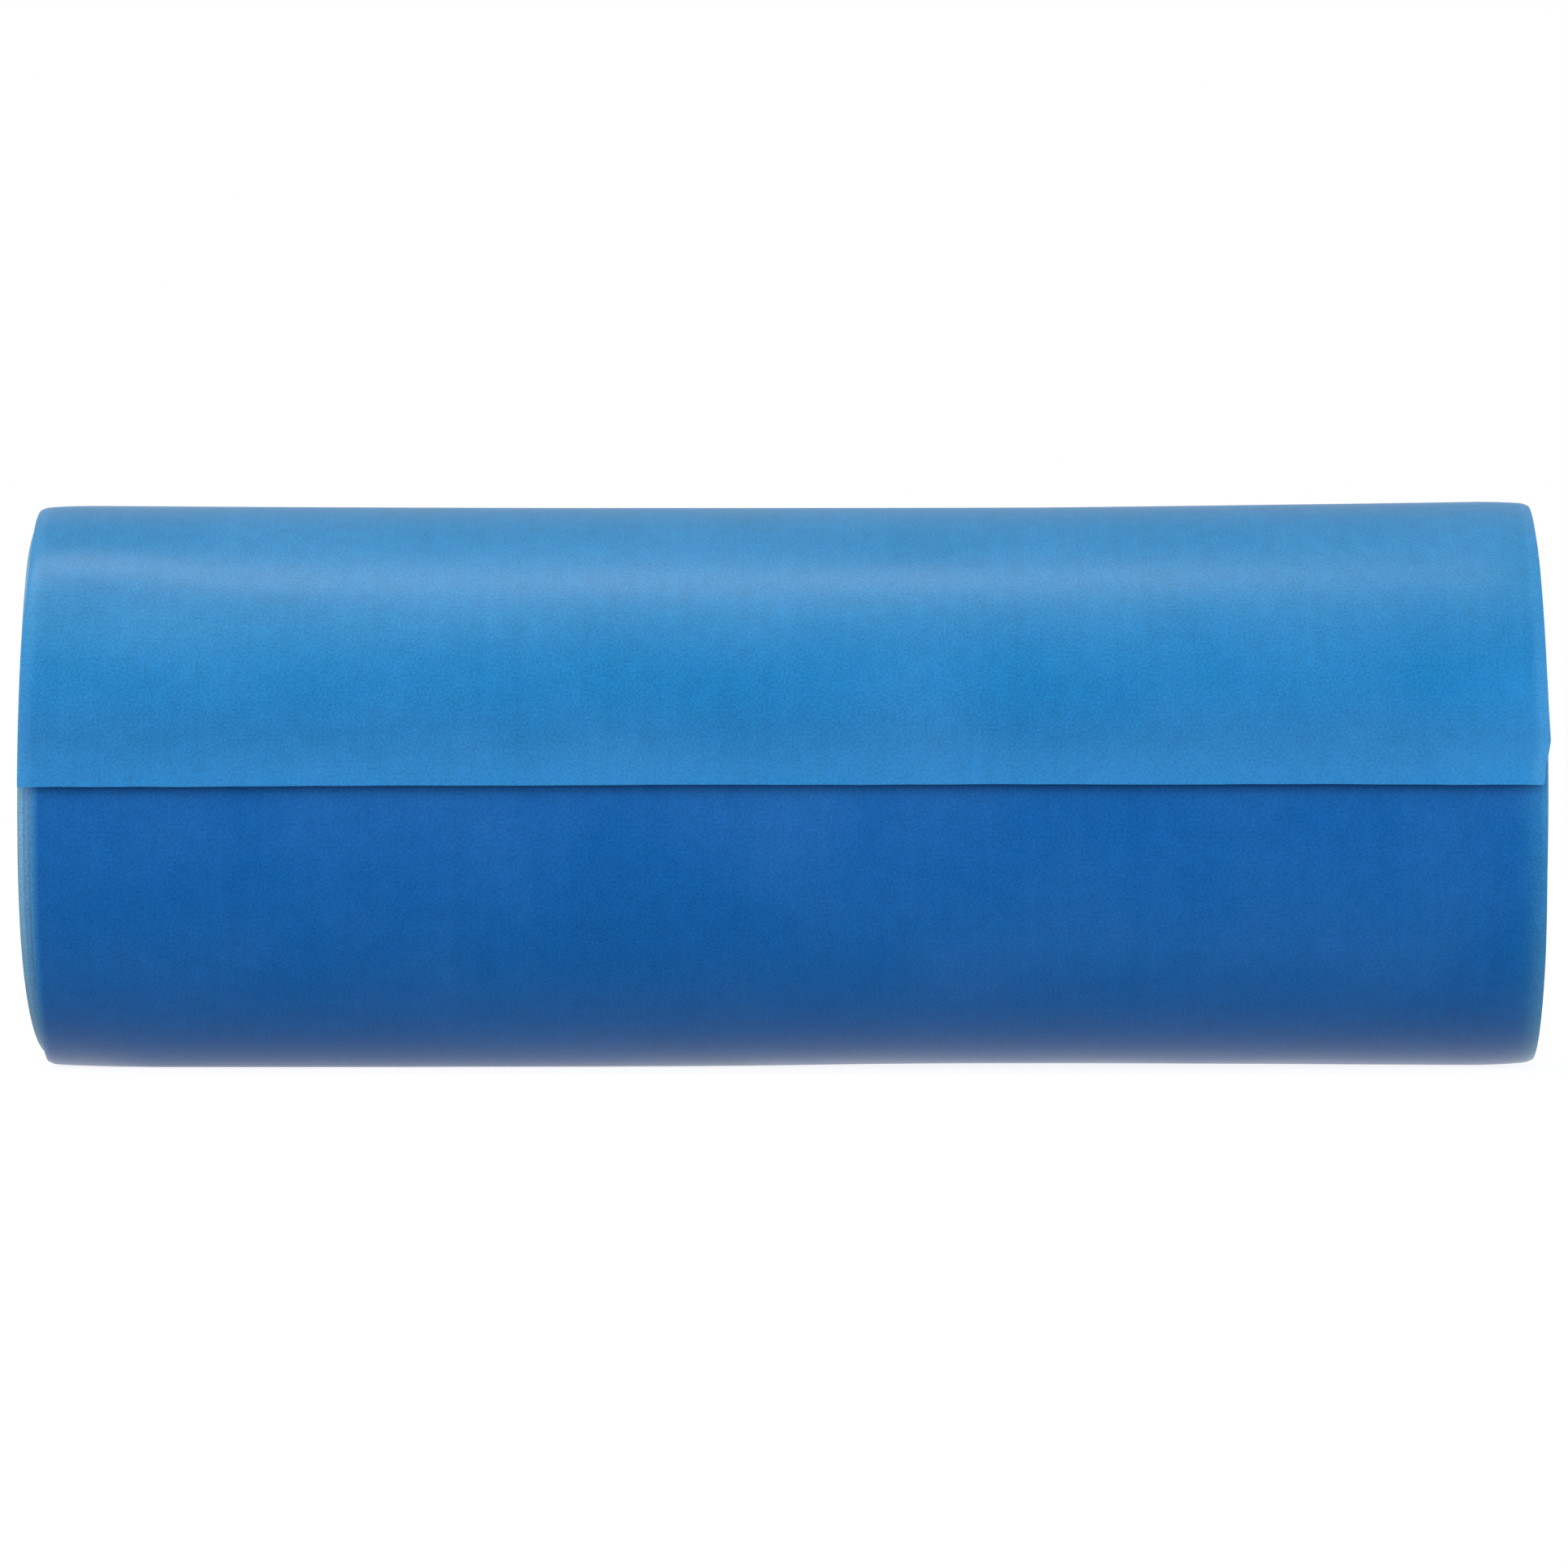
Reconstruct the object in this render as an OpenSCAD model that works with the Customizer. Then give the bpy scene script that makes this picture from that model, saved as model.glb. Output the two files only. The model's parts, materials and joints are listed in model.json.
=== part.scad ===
// Roll of flat latex exercise band, wound on a paperboard core.
// X runs along the roll, its front faces -Y and Z is up. The origin is the middle of the core's bore.
// Angles go round X the way that the band winds out: 0 is the back, 90 the top, 180 the front.
// Places along the band are counted in turns, from 0 on the core to the number of loops at the free end.

/* [Band] */
// Width of the band, from edge to edge
band_w = 150; // [100:1:200]
// Thickness of the band
band_t = 0.33; // [0.2:0.01:0.5]
// Turns of the band, from the core to its free end
loops = 19; // [8:1:24]
// Least air between one turn and the next
turn_gap = 0.45; // [0.42:0.01:0.6]
// Depth to which the roll is pressed flat where it lies
lying_flat = 0.5; // [0.3:0.05:0.8]

/* [Free end] */
// Angle round the roll at which the free end stops
end_angle = 180; // [165:1:195]
// Angle round the roll that each bending strip of the free end covers
strip_angle = 30; // [20:1:35]
// Slit at the line where one strip bends from the next
bend_slit = 0.1; // [0.06:0.01:0.2]

/* [Core] */
// Bore of the core tube
core_bore = 22; // [15:0.5:30]
// Wall of the core tube
core_wall = 2; // [1:0.1:3]
// Depth of the core's ends inside the band's edges
core_recess = 1; // [0.5:0.1:4]

/* [Starter tape] */
// Width of the tape, round the core
tape_w = 12; // [8:0.5:20]
// Thickness of the tape
tape_t = 0.1; // [0.05:0.01:0.2]
// Distance from the core's ends to the tape's ends
tape_inset = 6; // [2:0.5:20]

/* [Fit] */
// Air between the core and the tape, and between the tape and the band
layer_fit = 0.05; // [0.04:0.01:0.1]

/* [Hidden] */
$fn = 96;

full_turn = 360;
bottom_angle = 270;
// Straight facets in each turn
turn_facets = 48;
turn_step = 1 / turn_facets;
// How far a cut runs past the faces that it opens
cut_past = 1;

core_r = core_bore / 2 + core_wall;
core_l = band_w - 2 * core_recess;
tape_r = core_r + layer_fit;
tape_l = core_l - 2 * tape_inset;
tape_angle = full_turn * tape_w / (2 * PI * tape_r);

// Inner face of the band at its start, and its growth with each turn.
// Each turn is pressed a little flatter than the one inside it.
start_r = tape_r + tape_t + layer_fit;
flat_step = lying_flat / loops;
pitch = band_t + turn_gap + flat_step;
start_angle = end_angle - full_turn * loops;

// Strips of the free end, and where the first one leaves the roll
free_strips = 4;
strip_turn = strip_angle / full_turn;
free_start = loops - free_strips * strip_turn;
half_slit_turn = bend_slit / 2 / (2 * PI * (start_r + pitch * loops));

// Place along the band where the turn that holds u passes the bottom
first_bottom = (bottom_angle - end_angle) / full_turn + loops;
function bottom_of(u) = round(u - first_bottom) + first_bottom;

// A point of the band at u turns, at a height up from its inner face
function band_r(u) = start_r + pitch * u;
function flat_z(u, up) = let (b = bottom_of(u)) flat_step * max(0, b) - band_r(b) - up;
function band_point(u, up) =
    let (r = band_r(u) + up, a = start_angle + full_turn * u)
    [r * cos(a), max(r * sin(a), flat_z(u, up))];

// Distance from point p to the straight line between points a and b
function line_gap(p, a, b) =
    let (d = b - a, along = max(0, min(1, (p - a) * d / (d * d))))
    norm(p - a - along * d);

// Air over one point of a turn's outer face, up to the two facets of the next turn above it
function air_over(u) =
    let (p = band_point(u, band_t), over = band_point(u + 1, 0))
    min([for (side = [-turn_step, turn_step]) line_gap(p, over, band_point(u + 1 + side, 0))]);
least_gap = min([for (u = [0 : turn_step : loops - 1 - turn_step]) air_over(u)]);
echo(least_gap_between_turns_mm = least_gap);

// Turns what is drawn round Z so that it goes round X, from the back over the top
module round_the_roll() {
    rotate([90, 0, 90]) children();
}

// The band from one place along it to another, as one unbroken strip
module band_length(from, to) {
    facets = ceil((to - from) * turn_facets - 0.001);
    places = [for (i = [0 : facets]) from + (to - from) * i / facets];
    outer = [for (u = places) band_point(u, band_t)];
    inner = [for (i = [facets : -1 : 0]) band_point(places[i], 0)];
    round_the_roll() linear_extrude(band_w, center = true) polygon(concat(outer, inner));
}

module core_tube() {
    color("burlywood") round_the_roll() difference() {
        cylinder(h = core_l, r = core_r, center = true);
        cylinder(h = core_l + 2 * cut_past, d = core_bore, center = true);
    }
}

module starter_tape() {
    color("ivory") round_the_roll() rotate(start_angle) rotate_extrude(angle = tape_angle)
        translate([tape_r, -tape_l / 2]) square([tape_t, tape_l]);
}

module wound_band() {
    color("#1c62aa") band_length(0, free_start - half_slit_turn);
}

// One strip of the free end, counted from where it leaves the roll
module free_end(strip) {
    from = free_start + (strip - 1) * strip_turn;
    past_slit = strip < free_strips ? half_slit_turn : 0;
    color("#3186c5") band_length(from + half_slit_turn, from + strip_turn - past_slit);
}

core_tube();
starter_tape();
wound_band();
free_end(1);  // free_end_1
free_end(2);  // free_end_2
free_end(3);  // free_end_3
free_end(4);  // free_end_4
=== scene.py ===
"""A roll of powdered latex exercise band on a paperboard core, its free end lapped over the front."""

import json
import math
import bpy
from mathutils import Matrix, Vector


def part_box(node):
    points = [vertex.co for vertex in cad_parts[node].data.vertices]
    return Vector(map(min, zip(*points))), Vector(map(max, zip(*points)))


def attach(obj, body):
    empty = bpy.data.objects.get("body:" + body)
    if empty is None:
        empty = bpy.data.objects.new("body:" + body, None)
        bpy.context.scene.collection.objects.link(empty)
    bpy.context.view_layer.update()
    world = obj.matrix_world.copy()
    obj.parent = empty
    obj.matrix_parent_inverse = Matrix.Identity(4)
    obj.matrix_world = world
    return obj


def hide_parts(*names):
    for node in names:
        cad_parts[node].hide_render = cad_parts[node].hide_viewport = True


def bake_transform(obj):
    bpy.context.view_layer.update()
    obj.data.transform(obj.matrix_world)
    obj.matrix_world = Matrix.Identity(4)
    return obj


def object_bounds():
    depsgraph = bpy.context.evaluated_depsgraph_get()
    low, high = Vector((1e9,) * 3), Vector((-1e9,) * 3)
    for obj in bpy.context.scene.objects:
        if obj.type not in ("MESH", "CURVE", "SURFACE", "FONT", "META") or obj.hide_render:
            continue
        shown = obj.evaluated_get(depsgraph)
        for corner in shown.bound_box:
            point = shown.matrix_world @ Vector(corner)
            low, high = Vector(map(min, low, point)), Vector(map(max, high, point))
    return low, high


bl_info = {
    "name": "Latex Band Roll",
    "version": (1, 0, 0),
    "blender": (4, 5, 0),
    "location": "3D View > Sidebar > Band Roll",
    "description": "Winds a latex band on its core tube, laps its free end over the roll and sets a studio",
    "category": "Object",
}

import bpy
import numpy as np
from bpy.props import FloatProperty, FloatVectorProperty, IntProperty, PointerProperty

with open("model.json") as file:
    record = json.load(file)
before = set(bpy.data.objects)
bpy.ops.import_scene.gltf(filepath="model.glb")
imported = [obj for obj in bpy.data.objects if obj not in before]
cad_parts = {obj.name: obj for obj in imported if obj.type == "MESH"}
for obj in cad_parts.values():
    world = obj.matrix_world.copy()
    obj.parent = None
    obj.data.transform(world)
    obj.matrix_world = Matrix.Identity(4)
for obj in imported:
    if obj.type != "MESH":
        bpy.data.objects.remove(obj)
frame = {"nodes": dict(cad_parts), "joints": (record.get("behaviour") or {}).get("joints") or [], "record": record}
CAD_LOW, CAD_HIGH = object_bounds()

MM = 0.001
FULL_TURN = 2 * math.pi

# Places that the construction gives. Angles go round X from the back over the top to the front.
TAPE_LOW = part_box("starter_tape")[0]
CORE_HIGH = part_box("core_tube")[1]
WOUND_LOW, WOUND_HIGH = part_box("wound_band")
FREE_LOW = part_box("free_end_4")[0]
BAND_WIDTH = WOUND_HIGH.x - WOUND_LOW.x
FREE_STRIPS = [joint["child"] for joint in frame["joints"]]
BEND_ANGLES = [math.atan2(joint["pos_m"][2], joint["pos_m"][1]) for joint in frame["joints"]]
HALF_STRIP = (BEND_ANGLES[1] - BEND_ANGLES[0]) / 2
BORE_RADIUS = next(m["dims"]["r_mm"] for m in frame["record"]["mounts"] if m["name"] == "core_bore") * MM
FREE_ANGLE = math.pi
BOTTOM_ANGLE = 3 * math.pi / 2

# How far each edge of the band lies inside the end of the roll, by turns before the free end, in mm
LEFT_INSET = (
    (0, 0.07), (0.08, 0.13), (0.14, 0.47), (0.18, 0.48), (0.25, 0.5), (0.75, 1.15), (1, 1.4),
    (1.75, 1.0), (2, 1.12), (2.75, 0.58), (3, 0.66), (4, -0.14))
RIGHT_INSET = (
    (0, -0.05), (0.17, 0.12), (0.3, 0.03), (0.75, -0.4), (0.9, -0.2), (1, 0.1), (1.6, -0.1), (3, 0.0))
# Inset of the free end's right corner, by the length left to the free edge, both in mm
CORNER_INSET = ((0, 0.65), (0.3, 0.45), (2, 0.38), (3, 0.1), (4.5, -0.17), (8, -0.05), (12, 0.0))
# How far the inner turns' edges wander, the turns before the free end at which that begins, and the waves
# in which they do: share, radians in each turn, and phase
EDGE_WANDER, WANDER_FROM = 0.12 * MM, 2
LEFT_WANDER = ((1, 1.7, 0), (0.8, FULL_TURN + 0.4, 0), (-0.8, FULL_TURN, 0))
RIGHT_WANDER = ((1, 1.3, 2), (0.8, FULL_TURN + 0.3, 0))
# How far the left edges of the inner turns draw in under the roll, and how many turns before the free end
# that begins
LOW_DRAW, LOW_DRAW_FROM, LOW_DRAW_POWER = 0.72 * MM, 1.1, 4

# Bulge of the roll's top towards both ends, and the droop of the turns' edges
TOP_RISE, TOP_POWER = 0.1 * MM, 1.5
LEFT_RISE, LEFT_RISE_FROM, LEFT_RISE_POWER = 0.13 * MM, -20 * MM, 1.3
RIGHT_RISE, RIGHT_RISE_FROM, RIGHT_RISE_POWER = 0.52 * MM, 25 * MM, 1.4
RISE_REACH = 40 * MM
EDGE_DROOP, EDGE_DROOP_REACH, EDGE_DROOP_POWER = 0.27 * MM, 6 * MM, 2
# How far the very edges curl down, which rounds the corners of the roll
EDGE_CURL, EDGE_CURL_REACH, EDGE_CURL_POWER = 0.2 * MM, 0.8 * MM, 2

# Soft bumps of the loose lap: height, place along the roll and its reach, angle and its reach
LAP_BUMPS = (
    (0.6 * MM, -70 * MM, 9 * MM, math.radians(120), math.radians(12)),
    (0.18 * MM, 42 * MM, 16 * MM, math.radians(110), math.radians(14)),
)

# Underside of the roll: how deep its left half is pressed flat, and how far its right half and its ends
# stand off
UNDERSIDE_POWER = 3
PRESSED, PRESSED_TO, PRESSED_FADE = 0.5 * MM, 20 * MM, 60 * MM
PRESSED_FROM, PRESSED_GROW = 4 * MM, 9 * MM
ARCH_RISE, ARCH_MIDDLE, ARCH_REACH = 0.27 * MM, 25 * MM, 29 * MM
HEEL, HEEL_REACH, HEEL_POWER = 0.05 * MM, 8 * MM, 2
LYING_SOFTNESS = 0.05 * MM

# The free edge: how far it stops short of the front, how it bows, its small waves, as height, radians in
# each metre and phase, and the length of band that shifts with it
EDGE_SHORT = 0.6 * MM
EDGE_BOW, EDGE_BOW_MIDDLE, EDGE_BOW_REACH = 0.3 * MM, 40 * MM, 114 * MM
EDGE_WAVES = (
    (0.022 * MM, FULL_TURN / (31 * MM), 0.4),
    (0.014 * MM, FULL_TURN / (8.3 * MM), 1.9),
    (0.008 * MM, FULL_TURN / (2.7 * MM), 0),
)
EDGE_SHIFT_REACH = 7 * MM
# The angle from which the free end lifts off the roll, and how far its right corner is tucked in
LIFT_ANGLE, LIFT_POWER = math.radians(110), 1.5
TUCK, TUCK_REACH = 0.15 * MM, 4 * MM

# How much each pattern and the lap's right corner change the latex's shade, and how much painted light brightens
# the free edge and the lap's borders
GRAIN_SHADE, FLECK_SHADE, MOTTLE_SHADE, STREAK_SHADE = 0.56, 0.19, 0.16, 0.085
FREE_EDGE_LIGHT, LAP_BORDER_LIGHT, CORNER_SHADE = 0.17, 0.09, 0.12
# Octaves of each pattern's noise, and the size of the streaks
GRAIN_DETAIL, FLECK_DETAIL, MOTTLE_DETAIL, STREAK_DETAIL = 1.0, 3.0, 3.0, 2.0
STREAK_WIDTH, STREAK_LENGTH = 1.3 * MM, 70 * MM
# Most powder that the cloudy patches carry, and the values of their noise between which it grows
POWDER_MOST, POWDER_FROM, POWDER_TO = 0.02, 0.35, 0.75
# Strength and height of the grain's bump
GRAIN_BUMP, GRAIN_HEIGHT = 0.15, 0.02 * MM

# How pale the band's borders are, by the share of a length from the free end, and that length
BORDER_PALE = ((0, 0.05), (0.22, 0.022), (0.48, 0.36), (0.73, 0.42), (1, 0.82))
PALE_LENGTH = 700 * MM
# Share of a border's width over which it fades
BORDER_FADE = 0.5

# How loose the lap lies on the turn under it, by the share of the length in which it clings, which is
# longer at its right than at its left. It clings least at its right corner.
LAP_LOOSENESS = ((0, 0.1), (0.06, 0.05), (0.13, 0), (0.2, 0), (0.295, 0.15), (0.47, 0.48), (0.62, 1))
CLING_LEFT, CLING_RIGHT = 25 * MM, 36 * MM
CORNER_FROM, CORNER_TO, CORNER_LENGTH, CORNER_FADE = 16 * MM, 3 * MM, 8 * MM, 8 * MM
CORNER_LOOSENESS = 0.2
# Length over which the lap's look gives way to that of the tight turns
LAP_FADE = 50 * MM

# How loose every turn is at its very edges, and how far in from the left and from the right that reaches
EDGE_LOOSENESS, EDGE_LOOSE_POWER = 0.87, 2.0
LEFT_LOOSE_REACH, RIGHT_LOOSE_REACH = 0.8 * MM, 3.9 * MM

# Painted light from the floor on the outer turn's right edge under the roll: how pale it makes it, how far in
# that reaches, and the lengths from the free end between which it fades away
LOW_BOUNCE, LOW_BOUNCE_REACH = 0.35, 1.8 * MM
LOW_FADE_FROM, LOW_FADE_TO = 138 * MM, 172 * MM

# How pale painted light through the cut faces makes them, and how near to a border a place on them is
CUT_LIGHT, CUT_REACH = 0.4, 0.01 * MM

# Gloss of each latex, how much of it shows straight on, and roughness
FINISHES = {"Powdered latex": (0.092, 0.47, 0.25), "Wiped latex": (0.17, 1.0, 0.335)}
LATEX_IOR = 1.52
# How far the roughness goes either way, for a noise that goes between two values
ROUGHNESS_SPREAD, ROUGHNESS_FROM, ROUGHNESS_TO = 0.025, 0.3, 0.7

# Mesh steps. The wound turns have as many in every turn, so that their facets stay parallel, and the outer
# turn, with more, begins some rows over one turn before the free end.
ROWS_PER_TURN, ROWS_OVER = 72, 30
OUTER_TURNS = 1 + ROWS_OVER / ROWS_PER_TURN
WOUND_COLUMNS, OUTER_COLUMNS = 12, 64
OUTER_ROWS, STRIP_ROWS = 250, 26
COLUMN_EASE, ROW_EASE = 0.8, 0.9
NEST = 0.03 * MM
SMOOTH_ANGLE = math.radians(35)

# The core tube: plies, the seam of the innermost one along its bore and its mesh steps
CORE_PLIES, PLY_GROOVE, PLY_BEVEL = 5, 0.1 * MM, 0.05 * MM
PLY_CUT = 0.07 * MM
SEAM_DEPTH, SEAM_WIDTH = 0.16 * MM, 0.3 * MM
CORE_COLUMNS, BORE_ROWS = 144, 40
MERGE_DISTANCE = 0.001 * MM
# Its fibres: their slant, how long they are for their width, their noise, how much they show at most, and
# the values of the noise between which that grows
FIBRE_SLANT, FIBRE_STRETCH = (0.6, 0.45, 0.8), 3.0
FIBRE_DETAIL, FIBRE_DISTORTION = 4.0, 0.8
FIBRE_MOST, FIBRE_FROM, FIBRE_TO = 0.8, 0.42, 0.75
# The lines between its plies, in shares of a ply: place, half width, and how dark they are
PLY_CLEAR, PLY_LINE, PLY_SHADE = 0.25, 0.15, 0.6
HALF_PLY = 0.5
# Gloss, least and most roughness, and the bump of the board
BOARD_GLOSS, BOARD_SMOOTHEST, BOARD_ROUGHEST = 0.3, 0.8, 0.95
BOARD_BUMP, BOARD_HEIGHT = 0.4, 0.05 * MM

# The starter tape: distance between its ridges, their noise, shade, roughness and bump. The wave pattern has
# so many radians in each unit.
TAPE_RIDGE, WAVE_RADIANS = 0.5 * MM, 20
RIDGE_DISTORTION, RIDGE_DETAIL = 3.0, 2.0
RIDGE_DARKEST, RIDGE_PALEST = 0.85, 1.05
RIDGE_SMOOTHEST, RIDGE_ROUGHEST = 0.75, 0.9
RIDGE_BUMP, RIDGE_HEIGHT = 0.5, 0.04 * MM

# Places and sizes of the strip softbox over the roll and of the panel in front of it
SOFTBOX_PLACE, SOFTBOX_SIZE = (-0.16, 0.067, 0.62), (0.5, 0.09)
PANEL_PLACE, PANEL_SIZE = (-0.03, -0.14, 0.62), (0.6, 0.3)
# Heights over which the light from the sides fades, and over which the white walls give way to the ceiling,
# where 1 is overhead
FADE_FROM, FADE_TO = 0.24, 0.82
WALL_FROM, WALL_TO = 0.1, 0.3
# The floor: its size, the white that it shows by itself, and the share of the light on it that it adds
FLOOR_SIZE, FLOOR_WHITE, FLOOR_SHARE = 12.0, 0.88, 0.24
SENSOR_WIDTH, CLIP_END = 36.0, 50.0

# Sockets of a Mix node: its two values, its two colours and its mixed colour
VALUE_A, VALUE_B, COLOUR_A, COLOUR_B, MIXED = 2, 3, 6, 7, 2


def linear(hex_colour):
    """A linear RGBA colour from an sRGB hex value."""
    parts = [int(hex_colour[i:i + 2], 16) / 255 for i in (1, 3, 5)]
    return (*[c / 12.92 if c <= 0.04045 else ((c + 0.055) / 1.055) ** 2.4 for c in parts], 1.0)


def colour(name, description, hex_colour):
    """A colour that a user can change."""
    return FloatVectorProperty(
        name=name, description=description, subtype="COLOR", size=4, min=0, max=1, default=linear(hex_colour))


def length(name, description, default):
    """A length that a user can change, in metres."""
    return FloatProperty(
        name=name, description=description, unit="LENGTH", precision=5, min=0, default=default)


class BandSizes(bpy.types.PropertyGroup):
    """Sizes of the band and of the roll that it makes"""

    turns: IntProperty(
        name="Turns", description="Turns of the band, from the core to its free end", default=42, min=10)
    thickness: length("Thickness", "Thickness of the band", 0.33 * MM)
    start_gap: length("Start gap", "Air between the starter tape and the first turn", 0.05 * MM)
    slack: length("Slack", "How far the tight roll lies inside the construction's loose turns", 0.42 * MM)
    lift: length("Lift", "How far the free edge stands off the roll", 1.4 * MM)


class LatexLook(bpy.types.PropertyGroup):
    """Colours and grain of the powdered latex"""

    tight: colour("Tight", "Band that lies tight on the turn under it", "#1565B2")
    clinging: colour("Clinging", "Free end where it clings to the turn under it", "#147CC0")
    loose: colour("Loose", "Free end and edges, with air under them", "#3089C5")
    edge: colour("Edge", "Cut edges, through which light passes", "#8EC0DA")
    powder: colour("Powder", "Powder on the surface", "#A9CBE6")
    grain: length("Grain", "Size of the powder's grains, drawn coarse enough to show", 0.25 * MM)
    fleck: length("Fleck", "Size of the small uneven spots of powder", 1.9 * MM)
    mottle: length("Mottle", "Size of the cloudy patches", 17 * MM)
    loose_from: length("Loose end", "Length of the free end that has air under it", 62 * MM)
    tight_border: length("Tight border", "Width of the pale border along the tight turns' edges", 0.72 * MM)
    loose_border: length("Loose border", "Width of the pale border along the free end's edges", 1.6 * MM)
    # Painted light makes this length before the free edge paler
    free_lit_length: length("Free border", "Length before the free edge that is paler", 6 * MM)


class PaperLook(bpy.types.PropertyGroup):
    """Colours of the core tube and of the starter tape"""

    kraft: colour("Kraft", "Faces of the paperboard", "#A88661")
    fibre: colour("Fibre", "Pale fibres in the paperboard", "#CDB28C")
    seam: colour("Seam", "Shade between the plies", "#6E5237")
    tape: colour("Tape", "Creped starter tape", "#DED3B4")
    fibre_width: length("Fibre width", "Width of the fibres", 0.45 * MM)


class StudioLook(bpy.types.PropertyGroup):
    """Camera and light"""

    distance: length("Distance", "Distance of the camera from the roll's axis", 1.0)
    camera_x: FloatProperty(
        name="Camera X", description="Place of the camera along the roll", unit="LENGTH", default=0.12 * MM)
    camera_z: FloatProperty(
        name="Camera Z", description="Height of the camera over the roll's axis", unit="LENGTH",
        default=0.63 * MM)
    lens: FloatProperty(
        name="Lens", description="Focal length in millimetres", unit="CAMERA", default=227.8, min=1)
    horizon: FloatProperty(
        name="Horizon", description="Light from the sides, which fades to none overhead", default=1.85, min=0)
    lean: FloatProperty(
        name="Lean", description="How much of it comes from the front", subtype="FACTOR",
        default=0.3, min=0, max=1)
    bounce: FloatProperty(name="Bounce", description="Light that the floor sends up", default=0.37, min=0)
    softbox: FloatProperty(
        name="Softbox", description="Power of the strip softbox over the roll", subtype="POWER",
        default=1.5, min=0)
    panel: FloatProperty(
        name="Panel", description="Power of the broad panel in front of the softbox", subtype="POWER",
        default=0.32, min=0)
    warmth: colour("Warmth", "Colour of both lamps", "#FFF5E9")
    ceiling: FloatProperty(
        name="Ceiling", description="Brightness of the ceiling in gloss", default=0.5, min=0)


def node(tree, kind, links=(), stops=(), **settings):
    """Adds a node with its settings. Links hold pairs of an input and what it takes, a socket or a value.

    Stops hold pairs of place and value, for a ramp that goes through them on straight lines.
    """
    made = tree.nodes.new(kind)
    for name, value in settings.items():
        setattr(made, name, value)
    for socket, source in links:
        if isinstance(source, bpy.types.NodeSocket):
            tree.links.new(source, made.inputs[socket])
        else:
            made.inputs[socket].default_value = source
    if stops:
        ramp = made.color_ramp.elements
        while len(ramp) < len(stops):
            ramp.new(0.5)
        for stop, (place, value) in zip(ramp, stops):
            stop.position = place
            stop.color = (value, value, value, 1)
    return made


def new_material(name):
    """An empty material, and its node tree."""
    material = bpy.data.materials.new(name)
    material.use_nodes = True
    material.node_tree.nodes.clear()
    return material, material.node_tree


def powder_patterns(tree, look, band_map):
    """Noises on the band's map: grain, flecks, cloudy mottle and streaks.

    The streaks run along the band, where it was drawn off its former.
    """
    drawn = node(tree, "ShaderNodeVectorMath", [
        (0, band_map), (1, (1 / STREAK_WIDTH, 1 / STREAK_LENGTH, 1))], operation="MULTIPLY")
    kinds = (
        (band_map, 1 / look.grain, GRAIN_DETAIL),
        (band_map, 1 / look.fleck, FLECK_DETAIL),
        (band_map, 1 / look.mottle, MOTTLE_DETAIL),
        (drawn.outputs[0], 1.0, STREAK_DETAIL),
    )
    noises = []
    for place, scale, detail in kinds:
        noise = node(tree, "ShaderNodeTexNoise", [
            ("Vector", place), ("Scale", scale), ("Detail", detail)], noise_dimensions="2D")
        noises.append(noise.outputs["Fac"])
    return noises


def lap_shares(tree, look, from_right, along):
    """How far a place belongs to the lap, and to the lap's right corner, from 0 to 1."""
    lapped = node(tree, "ShaderNodeMapRange", [
        ("Value", along), ("From Min", look.loose_from), ("From Max", look.loose_from + LAP_FADE),
        ("To Min", 1.0), ("To Max", 0.0)], interpolation_type="SMOOTHSTEP")
    right_end = node(tree, "ShaderNodeMapRange", [
        ("Value", from_right), ("From Min", CORNER_TO), ("From Max", CORNER_FROM),
        ("To Min", 1.0), ("To Max", 0.0)], interpolation_type="SMOOTHSTEP")
    last_length = node(tree, "ShaderNodeMapRange", [
        ("Value", along), ("From Min", CORNER_LENGTH), ("From Max", CORNER_LENGTH + CORNER_FADE),
        ("To Min", 1.0), ("To Max", 0.0)], interpolation_type="SMOOTHSTEP")
    corner = node(tree, "ShaderNodeMath", [
        (0, right_end.outputs[0]), (1, last_length.outputs[0])], operation="MULTIPLY")
    return lapped.outputs[0], corner.outputs[0]


def looseness(tree, across, from_right, along, lapped, corner):
    """How loose a place is, from 0 to 1: the lap where it has air under it, and the edge of every turn."""
    cling = node(tree, "ShaderNodeMapRange", [
        ("Value", across), ("From Max", BAND_WIDTH), ("To Min", CLING_LEFT), ("To Max", CLING_RIGHT)])
    cling_share = node(tree, "ShaderNodeMath", [(0, along), (1, cling.outputs[0])], operation="DIVIDE")
    lap_loose = node(tree, "ShaderNodeValToRGB", [(0, cling_share.outputs[0])], stops=LAP_LOOSENESS)
    corner_loose = node(tree, "ShaderNodeMath", [(0, corner), (1, CORNER_LOOSENESS)], operation="MULTIPLY")
    lap = node(tree, "ShaderNodeMath", [
        (0, lap_loose.outputs["Color"]), (1, corner_loose.outputs[0])], operation="MAXIMUM")
    lying = node(tree, "ShaderNodeMath", [(0, lap.outputs[0]), (1, lapped)], operation="MULTIPLY")

    left_share = node(tree, "ShaderNodeMath", [(0, across), (1, LEFT_LOOSE_REACH)], operation="DIVIDE")
    right_share = node(tree, "ShaderNodeMath", [(0, from_right), (1, RIGHT_LOOSE_REACH)], operation="DIVIDE")
    edge_share = node(tree, "ShaderNodeMath", [
        (0, left_share.outputs[0]), (1, right_share.outputs[0])], operation="MINIMUM")
    near_edge = node(tree, "ShaderNodeMapRange", [
        ("Value", edge_share.outputs[0]), ("To Min", EDGE_LOOSENESS ** (1 / EDGE_LOOSE_POWER)),
        ("To Max", 0.0)])
    edge_loose = node(tree, "ShaderNodeMath", [
        (0, near_edge.outputs[0]), (1, EDGE_LOOSE_POWER)], operation="POWER")
    loose = node(tree, "ShaderNodeMath", [
        (0, lying.outputs[0]), (1, edge_loose.outputs[0])], operation="MAXIMUM")
    return loose.outputs[0]


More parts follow.
